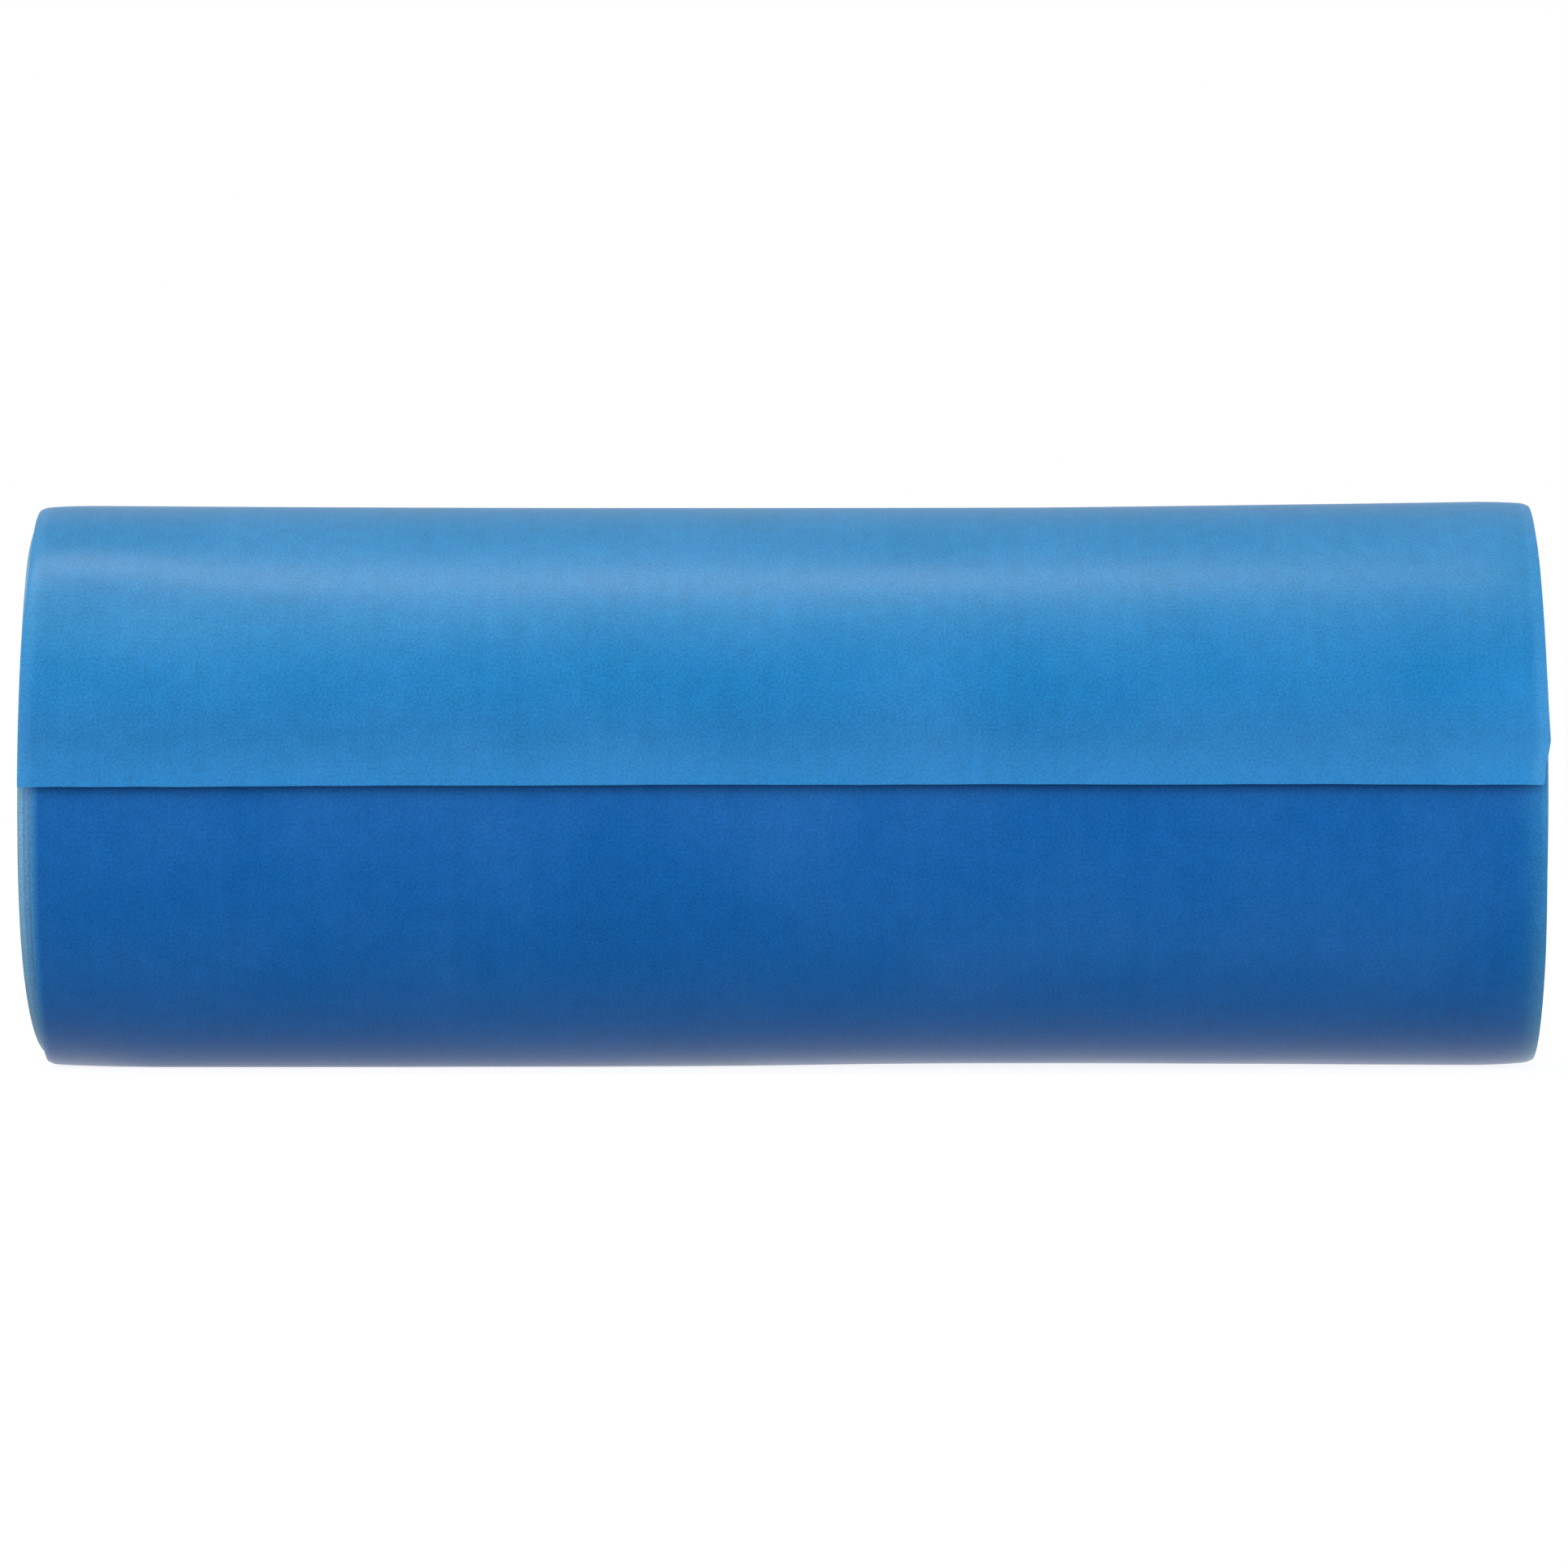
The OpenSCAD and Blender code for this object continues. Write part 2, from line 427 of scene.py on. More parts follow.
def border_share(tree, look, nearest, lapped):
    """How far a place belongs to the band's borders, from 0 to 1. They are wider on the lap."""
    width = node(tree, "ShaderNodeMapRange", [
        ("Value", lapped), ("To Min", look.tight_border), ("To Max", look.loose_border)])
    fading = node(tree, "ShaderNodeMapRange", [
        ("Value", nearest), ("From Max", width.outputs[0]), ("To Min", 1 / BORDER_FADE), ("To Max", 0.0)])
    border = node(tree, "ShaderNodeMath", [(0, fading.outputs[0]), (1, 1.0)], operation="MINIMUM")
    return border.outputs[0]


def paleness_and_painted_light(tree, from_right, along, nearest, border, lapped):
    """How pale a place is, from 0 to 1: borders, painted light from the floor on the outer turn's right edge under
    the roll, and painted light through the cut faces.

    Borders are palest on inner turns, which stand out past those over them.
    """
    pale_share = node(tree, "ShaderNodeMath", [(0, along), (1, PALE_LENGTH)], operation="DIVIDE")
    turn_pale = node(tree, "ShaderNodeValToRGB", [(0, pale_share.outputs[0])], stops=BORDER_PALE)
    border_pale = node(tree, "ShaderNodeMath", [
        (0, border), (1, turn_pale.outputs["Color"])], operation="MULTIPLY")

    # Painted light from the floor makes the outer turn's right edge paler under the roll
    low = node(tree, "ShaderNodeMapRange", [
        ("Value", along), ("From Min", LOW_FADE_FROM), ("From Max", LOW_FADE_TO),
        ("To Min", LOW_BOUNCE), ("To Max", 0.0)])
    low_bounce_tight = node(tree, "ShaderNodeMix", [(0, lapped), (VALUE_A, low.outputs[0]), (VALUE_B, 0.0)])
    low_bounce_edge = node(tree, "ShaderNodeMapRange", [
        ("Value", from_right), ("From Max", LOW_BOUNCE_REACH),
        ("To Min", low_bounce_tight.outputs[0]), ("To Max", 0.0)])
    border_and_bounce = node(tree, "ShaderNodeMath", [
        (0, border_pale.outputs[0]), (1, low_bounce_edge.outputs[0])], operation="MAXIMUM")

    # Painted light through the cut faces makes them pale
    from_cut = node(tree, "ShaderNodeMath", [(0, nearest), (1, along)], operation="MINIMUM")
    cut_light = node(tree, "ShaderNodeMapRange", [
        ("Value", from_cut.outputs[0]), ("From Max", CUT_REACH), ("To Min", CUT_LIGHT), ("To Max", 0.0)])
    pale_and_lit = node(tree, "ShaderNodeMath", [
        (0, border_and_bounce.outputs[0]), (1, cut_light.outputs[0])], operation="MAXIMUM")
    return pale_and_lit.outputs[0]


def powdered_latex(look, name):
    """Dipped sheet latex, dusted with powder: a soft gloss, cloudy depth, fine grain and pale borders, with
    painted light on its cut faces, free edge and the lap's borders.

    Patterns follow the band's own map: metres across it from its left edge, and along it from its free end.
    """
    gloss, straight_on, mean_roughness = FINISHES[name]
    material, tree = new_material(name)
    band_map = node(tree, "ShaderNodeUVMap", uv_map="Band").outputs["UV"]
    place = node(tree, "ShaderNodeSeparateXYZ", [(0, band_map)])
    across, along = place.outputs["X"], place.outputs["Y"]
    from_right = node(tree, "ShaderNodeMath", [
        (0, BAND_WIDTH), (1, across)], operation="SUBTRACT").outputs[0]
    nearest = node(tree, "ShaderNodeMath", [(0, across), (1, from_right)], operation="MINIMUM").outputs[0]
    grain, flecks, mottle, streaks = powder_patterns(tree, look, band_map)
    lapped, corner = lap_shares(tree, look, from_right, along)
    loose = looseness(tree, across, from_right, along, lapped, corner)
    border = border_share(tree, look, nearest, lapped)
    pale_and_lit = paleness_and_painted_light(tree, from_right, along, nearest, border, lapped)

    under = node(tree, "ShaderNodeMix", [
        (0, lapped), (COLOUR_A, look.tight), (COLOUR_B, look.clinging)], data_type="RGBA")
    body = node(tree, "ShaderNodeMix", [
        (0, loose), (COLOUR_A, under.outputs[MIXED]), (COLOUR_B, look.loose)], data_type="RGBA")
    edged = node(tree, "ShaderNodeMix", [
        (0, pale_and_lit), (COLOUR_A, body.outputs[MIXED]), (COLOUR_B, look.edge)], data_type="RGBA")
    powder = node(tree, "ShaderNodeMapRange", [
        ("Value", mottle), ("From Min", POWDER_FROM), ("From Max", POWDER_TO), ("To Max", POWDER_MOST)])
    dusted = node(tree, "ShaderNodeMix", [
        (0, powder.outputs[0]), (COLOUR_A, edged.outputs[MIXED]), (COLOUR_B, look.powder)], data_type="RGBA")

    # Painted light brightens the last millimetres before the free edge, where they have the most air under them,
    # and the lap's borders. It stands for light that passes through the loose latex.
    # Each noise lies about 0.5, so half of their weights comes off first.
    lit_lap_border = node(tree, "ShaderNodeMath", [(0, border), (1, lapped)], operation="MULTIPLY").outputs[0]
    weights = GRAIN_SHADE, FLECK_SHADE, MOTTLE_SHADE, STREAK_SHADE
    even = 1 - sum(weights) / 2
    shade = node(tree, "ShaderNodeMapRange", [
        ("Value", along), ("From Max", look.free_lit_length),
        ("To Min", even + FREE_EDGE_LIGHT), ("To Max", even)], interpolation_type="SMOOTHSTEP")
    patterns = (grain, flecks, mottle, streaks, lit_lap_border, corner)
    for pattern, weight in zip(patterns, (*weights, LAP_BORDER_LIGHT, CORNER_SHADE)):
        shade = node(tree, "ShaderNodeMath", [
            (0, pattern), (1, weight), (2, shade.outputs[0])], operation="MULTIPLY_ADD")
    shaded = node(tree, "ShaderNodeHueSaturation", [
        ("Value", shade.outputs[0]), ("Color", dusted.outputs[MIXED])])

    roughness = node(tree, "ShaderNodeMapRange", [
        ("Value", mottle), ("From Min", ROUGHNESS_FROM), ("From Max", ROUGHNESS_TO),
        ("To Min", mean_roughness - ROUGHNESS_SPREAD), ("To Max", mean_roughness + ROUGHNESS_SPREAD)])
    bump = node(tree, "ShaderNodeBump", [
        ("Height", grain), ("Strength", GRAIN_BUMP), ("Distance", GRAIN_HEIGHT)])
    surface = node(tree, "ShaderNodeBsdfPrincipled", [
        ("Base Color", shaded.outputs["Color"]), ("Roughness", roughness.outputs[0]),
        ("Normal", bump.outputs["Normal"]), ("IOR", LATEX_IOR), ("Specular IOR Level", gloss),
        ("Specular Tint", (straight_on, straight_on, straight_on, 1))])
    node(tree, "ShaderNodeOutputMaterial", [("Surface", surface.outputs[0])])
    return material


def kraft_paperboard(look):
    """Kraft board wound in plies: matte brown, with pale slanting fibres and darker lines between plies."""
    material, tree = new_material("Kraft paperboard")
    place = node(tree, "ShaderNodeTexCoord").outputs["Object"]
    # Fibres lie aslant to the tube
    stretched = node(tree, "ShaderNodeMapping", [
        ("Vector", place), ("Rotation", FIBRE_SLANT), ("Scale", (FIBRE_STRETCH, 1, 1))],
        vector_type="TEXTURE")
    fibres = node(tree, "ShaderNodeTexNoise", [
        ("Vector", stretched.outputs[0]), ("Scale", 1 / look.fibre_width),
        ("Detail", FIBRE_DETAIL), ("Distortion", FIBRE_DISTORTION)]).outputs["Fac"]
    fibre_share = node(tree, "ShaderNodeMapRange", [
        ("Value", fibres), ("From Min", FIBRE_FROM), ("From Max", FIBRE_TO), ("To Max", FIBRE_MOST)])
    board = node(tree, "ShaderNodeMix", [
        (0, fibre_share.outputs[0]), (COLOUR_A, look.kraft), (COLOUR_B, look.fibre)], data_type="RGBA")
    # Distance from the axis, which counts the plies on a cut end. The lines lie a little inside each ply,
    # so that the faces of the tube are clear of them.
    flat = node(tree, "ShaderNodeVectorMath", [(0, place), (1, (0, 1, 1))], operation="MULTIPLY")
    radius = node(tree, "ShaderNodeVectorMath", [(0, flat.outputs[0])], operation="LENGTH")
    ply = (CORE_HIGH.z - BORE_RADIUS) / CORE_PLIES
    ply_place = node(tree, "ShaderNodeMath", [
        (0, radius.outputs["Value"]), (1, 1 / ply), (2, PLY_CLEAR - BORE_RADIUS / ply)],
        operation="MULTIPLY_ADD")
    from_line = node(tree, "ShaderNodeMath", [(0, ply_place.outputs[0]), (1, HALF_PLY)], operation="PINGPONG")
    line = node(tree, "ShaderNodeMapRange", [
        ("Value", from_line.outputs[0]), ("From Max", PLY_LINE), ("To Min", PLY_SHADE), ("To Max", 0.0)])
    lined = node(tree, "ShaderNodeMix", [
        (0, line.outputs[0]), (COLOUR_A, board.outputs[MIXED]), (COLOUR_B, look.seam)], data_type="RGBA")
    roughness = node(tree, "ShaderNodeMapRange", [
        ("Value", fibres), ("To Min", BOARD_SMOOTHEST), ("To Max", BOARD_ROUGHEST)])
    bump = node(tree, "ShaderNodeBump", [
        ("Height", fibres), ("Strength", BOARD_BUMP), ("Distance", BOARD_HEIGHT)])
    surface = node(tree, "ShaderNodeBsdfPrincipled", [
        ("Base Color", lined.outputs[MIXED]), ("Roughness", roughness.outputs[0]),
        ("Normal", bump.outputs["Normal"]), ("Specular IOR Level", BOARD_GLOSS)])
    node(tree, "ShaderNodeOutputMaterial", [("Surface", surface.outputs[0])])
    return material


def creped_tape(look):
    """Creped paper tape: matte cream, with fine ridges across its length."""
    material, tree = new_material("Creped paper tape")
    place = node(tree, "ShaderNodeTexCoord").outputs["Object"]
    ridges = node(tree, "ShaderNodeTexWave", [
        ("Vector", place), ("Scale", FULL_TURN / WAVE_RADIANS / TAPE_RIDGE),
        ("Distortion", RIDGE_DISTORTION), ("Detail", RIDGE_DETAIL)], bands_direction="X").outputs["Fac"]
    shade = node(tree, "ShaderNodeMapRange", [
        ("Value", ridges), ("To Min", RIDGE_DARKEST), ("To Max", RIDGE_PALEST)])
    creped = node(tree, "ShaderNodeHueSaturation", [("Value", shade.outputs[0]), ("Color", look.tape)])
    roughness = node(tree, "ShaderNodeMapRange", [
        ("Value", ridges), ("To Min", RIDGE_SMOOTHEST), ("To Max", RIDGE_ROUGHEST)])
    bump = node(tree, "ShaderNodeBump", [
        ("Height", ridges), ("Strength", RIDGE_BUMP), ("Distance", RIDGE_HEIGHT)])
    surface = node(tree, "ShaderNodeBsdfPrincipled", [
        ("Base Color", creped.outputs["Color"]), ("Roughness", roughness.outputs[0]),
        ("Normal", bump.outputs["Normal"])])
    node(tree, "ShaderNodeOutputMaterial", [("Surface", surface.outputs[0])])
    return material


def seen_directly(tree):
    """A socket that is 1 for rays from the camera, and for those that gloss or glass sends on."""
    path = node(tree, "ShaderNodeLightPath")
    seen = node(tree, "ShaderNodeMath", [
        (0, path.outputs["Is Camera Ray"]), (1, path.outputs["Is Glossy Ray"])], operation="MAXIMUM")
    return node(tree, "ShaderNodeMath", [
        (0, seen.outputs[0]), (1, path.outputs["Is Transmission Ray"])], operation="MAXIMUM").outputs[0]


def studio_floor(look):
    """White painted floor, which stays white to the camera and to gloss and still takes a shadow."""
    material, tree = new_material("Studio white")
    bounce = node(tree, "ShaderNodeEmission", [("Strength", look.bounce)])
    shadowed = node(tree, "ShaderNodeBsdfDiffuse", [("Color", (FLOOR_SHARE, FLOOR_SHARE, FLOOR_SHARE, 1))])
    white = node(tree, "ShaderNodeEmission", [("Strength", FLOOR_WHITE)])
    bright = node(tree, "ShaderNodeAddShader", [(0, shadowed.outputs[0]), (1, white.outputs[0])])
    surface = node(tree, "ShaderNodeMixShader", [
        (0, seen_directly(tree)), (1, bounce.outputs[0]), (2, bright.outputs[0])])
    node(tree, "ShaderNodeOutputMaterial", [("Surface", surface.outputs[0])])
    return material


def studio_world(look):
    """Room that lights the roll from its sides. It looks white up to well over the horizon, then grey."""
    world = bpy.data.worlds.new("Studio")
    world.use_nodes = True
    tree = world.node_tree
    tree.nodes.clear()
    direction = node(tree, "ShaderNodeTexCoord").outputs["Generated"]
    place = node(tree, "ShaderNodeSeparateXYZ", [(0, direction)])
    sides = node(tree, "ShaderNodeMapRange", [
        ("Value", place.outputs["Z"]), ("From Min", FADE_FROM), ("From Max", FADE_TO),
        ("To Min", look.horizon), ("To Max", 0.0)], interpolation_type="SMOOTHSTEP")
    leaning = node(tree, "ShaderNodeMath", [
        (0, place.outputs["Y"]), (1, -look.lean), (2, 1.0)], operation="MULTIPLY_ADD")
    strength = node(tree, "ShaderNodeMath", [
        (0, sides.outputs[0]), (1, leaning.outputs[0])], operation="MULTIPLY")
    whiteness = node(tree, "ShaderNodeMapRange", [
        ("Value", place.outputs["Z"]), ("From Min", WALL_FROM), ("From Max", WALL_TO),
        ("To Min", 1.0), ("To Max", look.ceiling)], interpolation_type="SMOOTHSTEP")
    light, white = (
        node(tree, "ShaderNodeBackground", [("Color", linear("#FFFFFF")), ("Strength", level.outputs[0])])
        for level in (strength, whiteness))
    sky = node(tree, "ShaderNodeMixShader", [
        (0, seen_directly(tree)), (1, light.outputs[0]), (2, white.outputs[0])])
    node(tree, "ShaderNodeOutputWorld", [("Surface", sky.outputs[0])])
    return world


def smooth(t):
    """A smooth step from 0 to 1 for t from 0 to 1."""
    t = np.clip(t, 0, 1)
    return t * t * (3 - 2 * t)


def bell(t):
    """A bell curve of height 1 about 0."""
    return np.exp(-0.5 * t ** 2)


def eased(t, ease):
    """Places from 0 to 1, drawn closer together at both ends."""
    return t - ease * np.sin(FULL_TURN * t) / FULL_TURN


def through(points, place):
    """Values at a place, on straight lines through pairs of place and value."""
    places, values = zip(*points)
    return np.interp(place, places, values)


def waves(parts, place):
    """A sum of sine waves, each with its height, its radians in each unit of place, and its phase."""
    return sum(height * np.sin(rate * place + phase) for height, rate, phase in parts)


def near_ends(x, reach):
    """A share that grows from 0 to 1 over the last reach before both ends of the roll."""
    return np.clip((np.abs(x) - WOUND_HIGH.x + reach) / reach, 0, None)


def start_radius(sizes):
    """Radius of the first turn's inner face."""
    return sizes.start_gap - TAPE_LOW.y


def pitch(sizes):
    """Growth of the roll's radius with each turn."""
    return (-FREE_LOW.y - sizes.slack - sizes.thickness - start_radius(sizes)) / sizes.turns


def turn_at(sizes, angle):
    """Turns from the core to an angle in the last turn."""
    return sizes.turns - (FREE_ANGLE - angle) / FULL_TURN


def length_left(sizes, turn):
    """Length of band from a turn to the free end, along the middle of its thickness."""
    middle = start_radius(sizes) + sizes.thickness / 2
    left = sizes.turns - turn
    return FULL_TURN * left * (middle + pitch(sizes) * (sizes.turns + turn) / 2)


def edge_lines(sizes, turn):
    """Places along X of the band's left and right edges."""
    before_end = sizes.turns - turn
    angle = FREE_ANGLE - FULL_TURN * before_end
    wander = EDGE_WANDER * np.clip(before_end - WANDER_FROM, 0, 1)
    underside = np.clip(-np.sin(angle), 0, None) ** LOW_DRAW_POWER
    drawn_in = LOW_DRAW * smooth(before_end - LOW_DRAW_FROM) * underside
    left_inset = MM * through(LEFT_INSET, before_end) + drawn_in
    corner_inset = through(CORNER_INSET, length_left(sizes, turn) / MM)
    right_inset = MM * (through(RIGHT_INSET, before_end) + corner_inset)
    left = WOUND_LOW.x + left_inset + wander * waves(LEFT_WANDER, turn)
    right = WOUND_HIGH.x - right_inset + wander * waves(RIGHT_WANDER, turn)
    return left, right


def lying_depth(sizes):
    """How much lower the outermost turn would reach than the flat that the roll lies on."""
    lowest = start_radius(sizes) + pitch(sizes) * turn_at(sizes, BOTTOM_ANGLE - FULL_TURN) + sizes.thickness
    return lowest + CAD_LOW.z


def swell(sizes, x, angle):
    """How far the outermost turn stands off a true spiral, at a place along the roll and an angle."""
    left = LEFT_RISE * np.clip((LEFT_RISE_FROM - x) / RISE_REACH, 0, None) ** LEFT_RISE_POWER
    right = RIGHT_RISE * np.clip((x - RIGHT_RISE_FROM) / RISE_REACH, 0, None) ** RIGHT_RISE_POWER
    top = np.clip(np.sin(angle), 0, None) ** TOP_POWER
    droop = EDGE_DROOP * near_ends(x, EDGE_DROOP_REACH) ** EDGE_DROOP_POWER
    rise = top * (TOP_RISE + left + right) - droop
    for height, middle, reach, lean, lean_reach in LAP_BUMPS:
        turned = (angle - lean + math.pi) % FULL_TURN - math.pi
        rise = rise + height * bell((x - middle) / reach) * bell(turned / lean_reach)

    underside = np.clip(-np.sin(angle), 0, None) ** UNDERSIDE_POWER
    arch = ARCH_RISE * bell((x - ARCH_MIDDLE) / ARCH_REACH)
    pressed = PRESSED * smooth((PRESSED_TO - x) / PRESSED_FADE)
    pressed = pressed * smooth((x - WOUND_LOW.x - PRESSED_FROM) / PRESSED_GROW)
    heel = HEEL * near_ends(x, HEEL_REACH) ** HEEL_POWER
    return rise - underside * (lying_depth(sizes) - pressed + arch + heel)


def free_edge_shift(sizes, x, turn):
    """How far along the band its free edge is moved: cut a little short, bowed and slightly wavy."""
    bow = EDGE_BOW * ((x - EDGE_BOW_MIDDLE) / EDGE_BOW_REACH) ** 2
    shift = bow - EDGE_SHORT + waves(EDGE_WAVES, x)
    return shift * smooth(1 - length_left(sizes, turn) / EDGE_SHIFT_REACH)


def free_lift(sizes, x, turn, angle):
    """How far the free end stands off the roll. Its right corner is tucked in."""
    lift = sizes.lift * smooth((angle - LIFT_ANGLE) / (FREE_ANGLE - LIFT_ANGLE)) ** LIFT_POWER
    near_corner = smooth(1 - (WOUND_HIGH.x - x) / TUCK_REACH)
    near_edge = smooth(1 - length_left(sizes, turn) / TUCK_REACH)
    in_last_turn = turn > turn_at(sizes, LIFT_ANGLE)
    return np.where(in_last_turn, lift - TUCK * near_corner * near_edge, 0)


def on_the_roll(sizes, turn, across, up):
    """Points of the wound band: turns from the core, 0 to 1 from its left edge, up from its inner face."""
    left, right = edge_lines(sizes, turn)
    x = left + (right - left) * across
    angle = FREE_ANGLE + FULL_TURN * (turn - sizes.turns)
    from_border = np.minimum(x - left, right - x)
    curl = EDGE_CURL * np.clip(1 - from_border / EDGE_CURL_REACH, 0, 1) ** EDGE_CURL_POWER
    # Inner turns follow the outermost one less and less towards the core
    share = turn / sizes.turns
    stand_off = share * (swell(sizes, x, angle) - curl) + free_lift(sizes, x, turn, angle)
    radius = start_radius(sizes) + pitch(sizes) * turn + up + stand_off
    turned = angle + free_edge_shift(sizes, x, turn) / radius
    y, z = radius * np.cos(turned), radius * np.sin(turned)
    # Each turn is pressed flat where it passes the bottom
    first_bottom = turn_at(sizes, BOTTOM_ANGLE - FULL_TURN)
    bottom = np.round(turn - first_bottom) + first_bottom
    floor = lying_depth(sizes) * bottom / sizes.turns - start_radius(sizes) - pitch(sizes) * bottom - up
    z = (z + floor + np.sqrt((z - floor) ** 2 + LYING_SOFTNESS ** 2)) / 2
    return np.stack([x, y, z], axis=1)


def deselect_all():
    """Deselects everything, so that the next operators act on the new piece alone."""
    bpy.ops.object.select_all(action="DESELECT")


def read_vectors(items, name, width):
    """A named vector of every item, as one array."""
    values = np.empty(len(items) * width, np.float32)
    items.foreach_get(name, values)
    return values.reshape(-1, width).astype(float)


def wind_band(sizes, name, turns, rows, columns, row_ease, nest=0.0):
    """A length of the band between two turns, wound on the roll, with its thickness and its own map."""
    first, last = turns
    deselect_all()
    bpy.ops.mesh.primitive_grid_add(x_subdivisions=columns, y_subdivisions=rows, size=1, calc_uvs=True)
    band = bpy.context.object
    band.name = band.data.name = name
    thicken = band.modifiers.new("Thickness", "SOLIDIFY")
    thicken.thickness = sizes.thickness
    thicken.offset = 1
    bpy.ops.object.modifier_apply(modifier=thicken.name)

    flat = read_vectors(band.data.vertices, "co", 3)
    across = eased(flat[:, 0] + 0.5, COLUMN_EASE)
    turn = last - (last - first) * eased(flat[:, 1] + 0.5, row_ease)
    up = flat[:, 2] - nest * turn / sizes.turns
    wound = on_the_roll(sizes, turn, across, up)
    band.data.vertices.foreach_set("co", wound.astype(np.float32).ravel())

    band_map = band.data.uv_layers[0]
    band_map.name = "Band"
    places = read_vectors(band_map.uv, "vector", 2)
    map_turn = last - (last - first) * eased(places[:, 1], row_ease)
    places[:, 0] = eased(places[:, 0], COLUMN_EASE) * BAND_WIDTH
    places[:, 1] = length_left(sizes, map_turn)
    band_map.uv.foreach_set("vector", places.astype(np.float32).ravel())
    band.data.update()
    bpy.ops.object.shade_smooth_by_angle(angle=SMOOTH_ANGLE)
    return band


def latex_of(context, name):
    """One of the two latex finishes, made once for all lengths of the band."""
    return bpy.data.materials.get(name) or powdered_latex(context.scene.latex_look, name)


def core_section():
    """Points of X and radius round the core tube's wall: bore, right end, outside and left end.

    At the ends the plies are cut at slightly different places, with a groove between them.
    """
    half = CORE_HIGH.x
    ply = (CORE_HIGH.z - BORE_RADIUS) / CORE_PLIES
    right_end = []
    for number in range(CORE_PLIES):
        inner = BORE_RADIUS + number * ply
        back = half - PLY_CUT * (number * 2 % 3)
        if number:
            right_end.append((back - PLY_GROOVE, inner))
        right_end.append((back, inner + PLY_BEVEL))
        right_end.append((back, inner + ply - PLY_BEVEL))
    bore_end = half - 2 * PLY_GROOVE
    bore = [(x, BORE_RADIUS) for x in np.linspace(-bore_end, bore_end, BORE_ROWS)]
    outside = [(bore_end, CORE_HIGH.z), (-bore_end, CORE_HIGH.z)]
    left_end = [(-x, radius) for x, radius in reversed(right_end)]
    return np.array(bore + right_end + outside + left_end)


class BANDROLL_OT_core(bpy.types.Operator):
    """Model the core tube, with its plies and the seam in its bore"""

    bl_idname = "bandroll.core"
    bl_label = "Core Tube"

    def execute(self, context):
        section = core_section()
        rows = len(section)
        deselect_all()
        bpy.ops.mesh.primitive_grid_add(x_subdivisions=CORE_COLUMNS, y_subdivisions=rows, size=1)
        core = context.object
        core.name = core.data.name = "paperboard_core"
        flat = read_vectors(core.data.vertices, "co", 3)
        round_share = eased(flat[:, 0] + 0.5, COLUMN_EASE)
        row = np.round((flat[:, 1] + 0.5) * rows).astype(int) % rows
        x, radius = section[row].T
        from_seam = np.minimum(round_share, 1 - round_share) * FULL_TURN * BORE_RADIUS
        seam = SEAM_DEPTH * np.clip(1 - from_seam / SEAM_WIDTH, 0, 1)
        radius = radius + np.where(row < BORE_ROWS, seam, 0)
        angle = FULL_TURN * round_share
        tube = np.stack([x, radius * np.cos(angle), radius * np.sin(angle)], axis=1)
        core.data.vertices.foreach_set("co", tube.astype(np.float32).ravel())
        bpy.ops.object.mode_set(mode="EDIT")
        bpy.ops.mesh.select_all(action="SELECT")
        bpy.ops.mesh.remove_doubles(threshold=MERGE_DISTANCE)
        bpy.ops.mesh.normals_make_consistent(inside=False)
        bpy.ops.object.mode_set(mode="OBJECT")
        bpy.ops.object.shade_smooth_by_angle(angle=SMOOTH_ANGLE)
        core.data.materials.append(kraft_paperboard(context.scene.paper_look))
        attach(core, "roll")
        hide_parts("core_tube")
        return {"FINISHED"}


class BANDROLL_OT_tape(bpy.types.Operator):
    """Give the starter tape its creped paper"""

    bl_idname = "bandroll.tape"
    bl_label = "Starter Tape"

    def execute(self, context):
        tape = frame["nodes"]["starter_tape"]
        tape.data.materials.clear()
        tape.data.materials.append(creped_tape(context.scene.paper_look))
        return {"FINISHED"}


class BANDROLL_OT_turns(bpy.types.Operator):
    """Wind the band's tight turns on the core"""

    bl_idname = "bandroll.turns"
    bl_label = "Wound Turns"

    def execute(self, context):
        sizes = context.scene.band_sizes
        outer = sizes.turns - OUTER_TURNS
        leaves = turn_at(sizes, BEND_ANGLES[0] - HALF_STRIP)
        lengths = (
            ("inner_turns", (0, outer), round(outer * ROWS_PER_TURN), WOUND_COLUMNS, 0.0, NEST),
            ("outer_turn", (outer, leaves), OUTER_ROWS, OUTER_COLUMNS, ROW_EASE, 0.0),
        )
        for name, turns, rows, columns, row_ease, nest in lengths:
            band = wind_band(sizes, name, turns, rows, columns, row_ease, nest)
            band.data.materials.append(latex_of(context, "Powdered latex"))
            if name == "outer_turn":
                # From the bottom of this turn to its free end the band carries less powder
                band.data.materials.append(latex_of(context, "Wiped latex"))
                wiped = length_left(sizes, turn_at(sizes, BOTTOM_ANGLE - FULL_TURN))
                places = read_vectors(band.data.uv_layers[0].uv, "vector", 2)
                for face in band.data.polygons:
                    face.material_index = int(places[face.loop_start, 1] < wiped)
            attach(band, "roll")
            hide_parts("wound_band")
        return {"FINISHED"}


class BANDROLL_OT_lap(bpy.types.Operator):
    """Lap the free end over the roll, in strips, one about each of its joints"""

    bl_idname = "bandroll.lap"
    bl_label = "Lapped End"

    def execute(self, context):
        sizes = context.scene.band_sizes
        for strip, bend in zip(FREE_STRIPS, BEND_ANGLES):
            starts = bend - HALF_STRIP
            ends = FREE_ANGLE if strip == FREE_STRIPS[-1] else bend + HALF_STRIP
            turns = turn_at(sizes, starts), turn_at(sizes, ends)
            rows = round(STRIP_ROWS * (ends - starts) / (2 * HALF_STRIP))
            name = "lapped_end_" + strip.rsplit("_", 1)[1]
            band = wind_band(sizes, name, turns, rows, OUTER_COLUMNS, ROW_EASE)
            band.data.materials.append(latex_of(context, "Wiped latex"))
            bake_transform(band)
            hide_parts(strip)
        return {"FINISHED"}


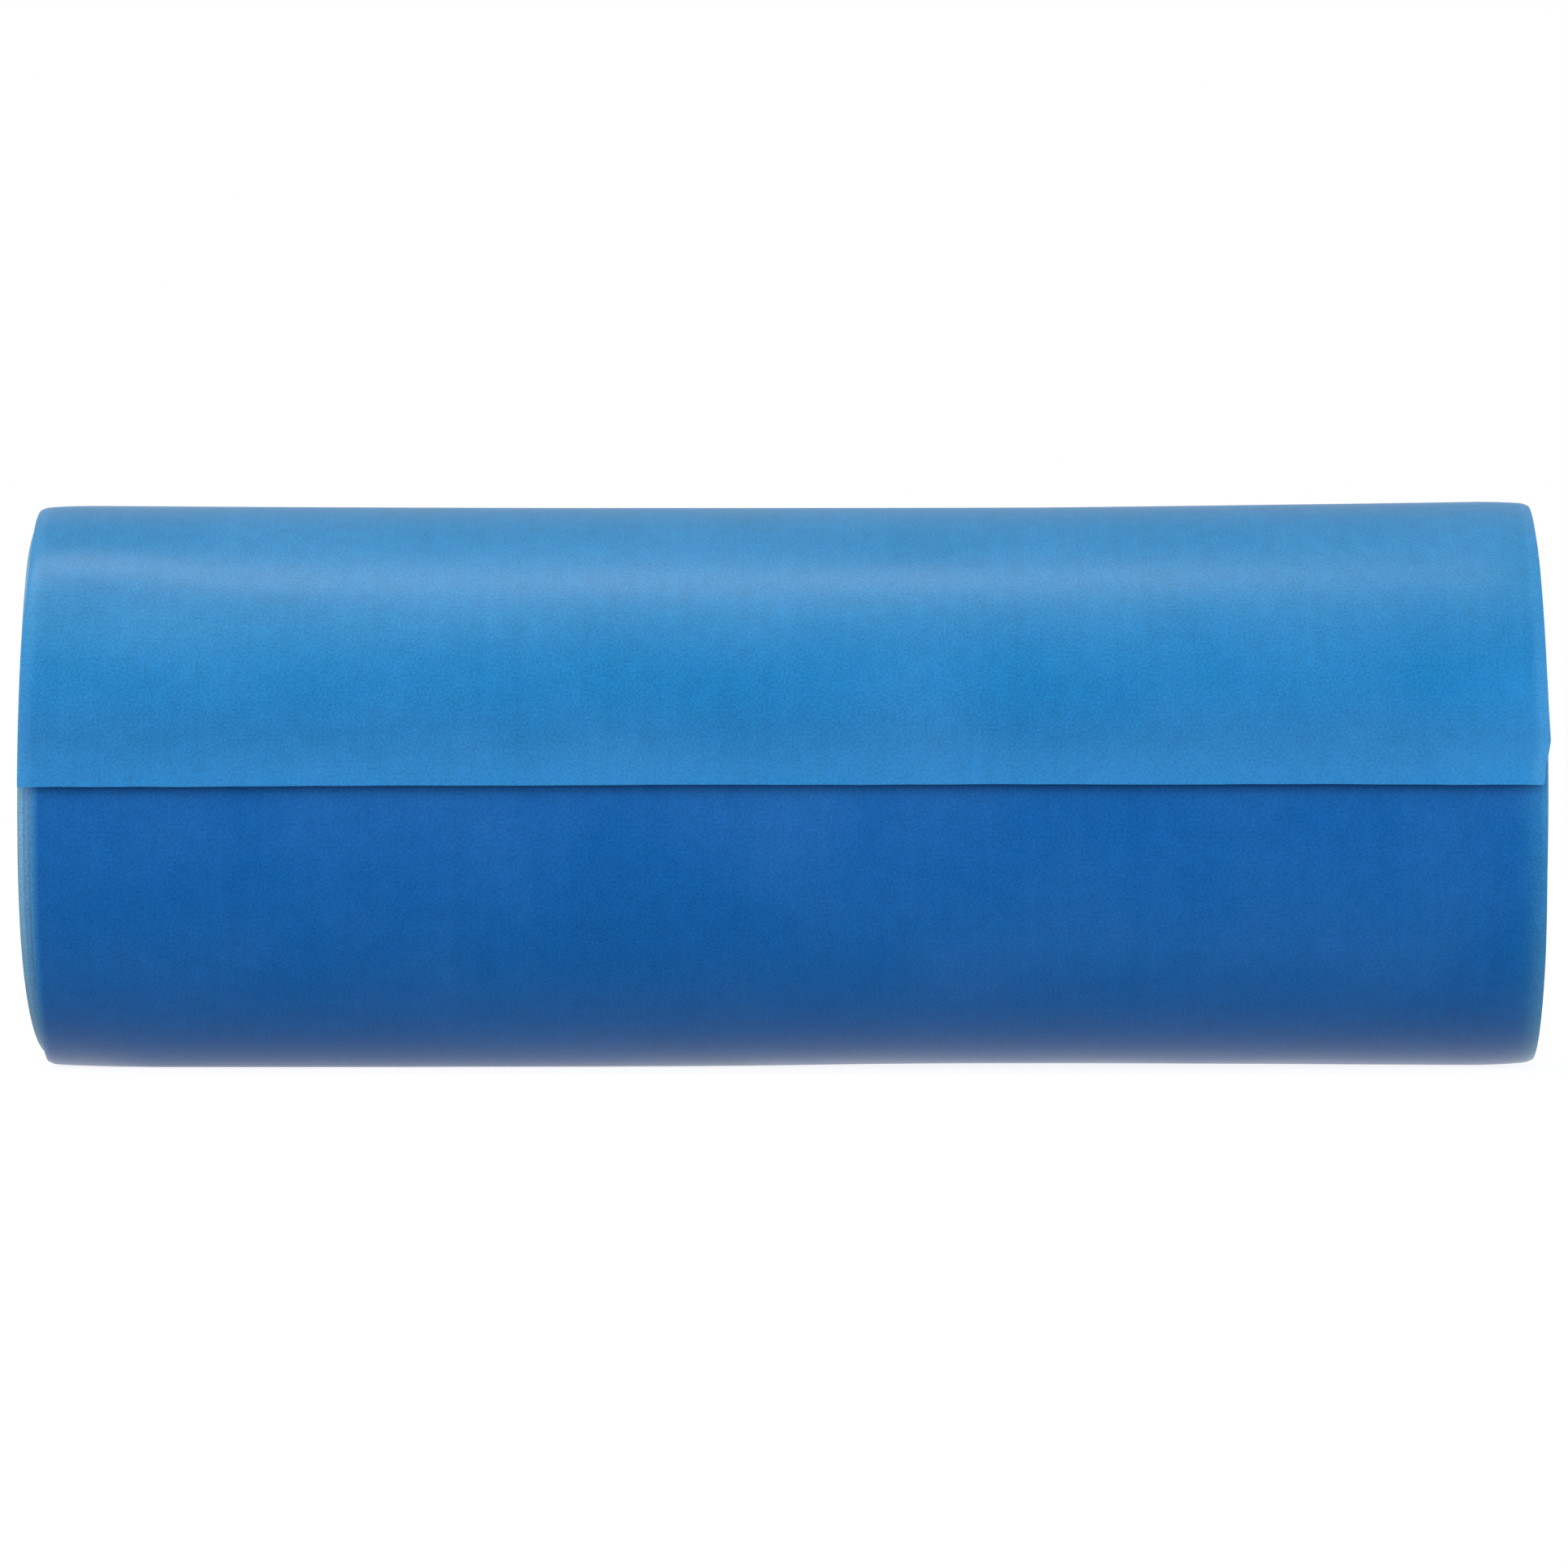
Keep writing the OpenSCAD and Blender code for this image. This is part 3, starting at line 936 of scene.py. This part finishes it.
class BANDROLL_OT_stage(bpy.types.Operator):
    """Set the floor, the light and the camera"""

    bl_idname = "bandroll.stage"
    bl_label = "Studio"

    def execute(self, context):
        look = context.scene.studio_look
        deselect_all()
        bpy.ops.mesh.primitive_plane_add(size=FLOOR_SIZE, location=(0, 0, CAD_LOW.z))
        floor = context.object
        floor.name = "studio_floor"
        bpy.ops.object.transform_apply(location=True)
        floor.data.materials.append(studio_floor(look))

        context.scene.world = studio_world(look)
        lamps = (
            ("strip_softbox", SOFTBOX_PLACE, SOFTBOX_SIZE, look.softbox),
            ("overhead_panel", PANEL_PLACE, PANEL_SIZE, look.panel),
        )
        for name, location, size, power in lamps:
            bpy.ops.object.light_add(type="AREA", location=location)
            lamp = context.object
            lamp.name = lamp.data.name = name
            lamp.data.shape = "RECTANGLE"
            lamp.data.size, lamp.data.size_y = size
            lamp.data.energy = power
            lamp.data.color = look.warmth[:3]

        bpy.ops.object.camera_add(location=(look.camera_x, -look.distance, look.camera_z))
        camera = context.object
        camera.rotation_euler = (math.pi / 2, 0, 0)
        camera.data.sensor_width = SENSOR_WIDTH
        camera.data.lens = look.lens
        camera.data.clip_end = CLIP_END
        context.scene.camera = camera
        context.scene.view_settings.view_transform = "Standard"
        return {"FINISHED"}


class BANDROLL_PT_panel(bpy.types.Panel):
    """Steps that build the roll, and the sizes and colours that they read"""

    bl_idname = "BANDROLL_PT_panel"
    bl_label = "Band Roll"
    bl_space_type = "VIEW_3D"
    bl_region_type = "UI"
    bl_category = "Band Roll"

    def draw(self, context):
        for step in STEPS:
            self.layout.operator(step.bl_idname)
        for name, group in GROUPS.items():
            box = self.layout.box()
            for value in group.__annotations__:
                box.prop(getattr(context.scene, name), value)


STEPS = (BANDROLL_OT_core, BANDROLL_OT_tape, BANDROLL_OT_turns, BANDROLL_OT_lap, BANDROLL_OT_stage)
GROUPS = {
    "band_sizes": BandSizes,
    "latex_look": LatexLook,
    "paper_look": PaperLook,
    "studio_look": StudioLook,
}


def register():
    """Registers the classes, and their settings on the scene."""
    for made in (*GROUPS.values(), *STEPS, BANDROLL_PT_panel):
        bpy.utils.register_class(made)
    for name, group in GROUPS.items():
        setattr(bpy.types.Scene, name, PointerProperty(type=group))


def unregister():
    """Removes the settings and the classes."""
    for name in GROUPS:
        delattr(bpy.types.Scene, name)
    for made in (BANDROLL_PT_panel, *STEPS, *GROUPS.values()):
        bpy.utils.unregister_class(made)


def main():
    """Builds the roll and its studio."""
    register()
    bpy.ops.bandroll.core()
    bpy.ops.bandroll.tape()
    bpy.ops.bandroll.turns()
    bpy.ops.bandroll.lap()
    bpy.ops.bandroll.stage()


if __name__ == "__main__":
    main()
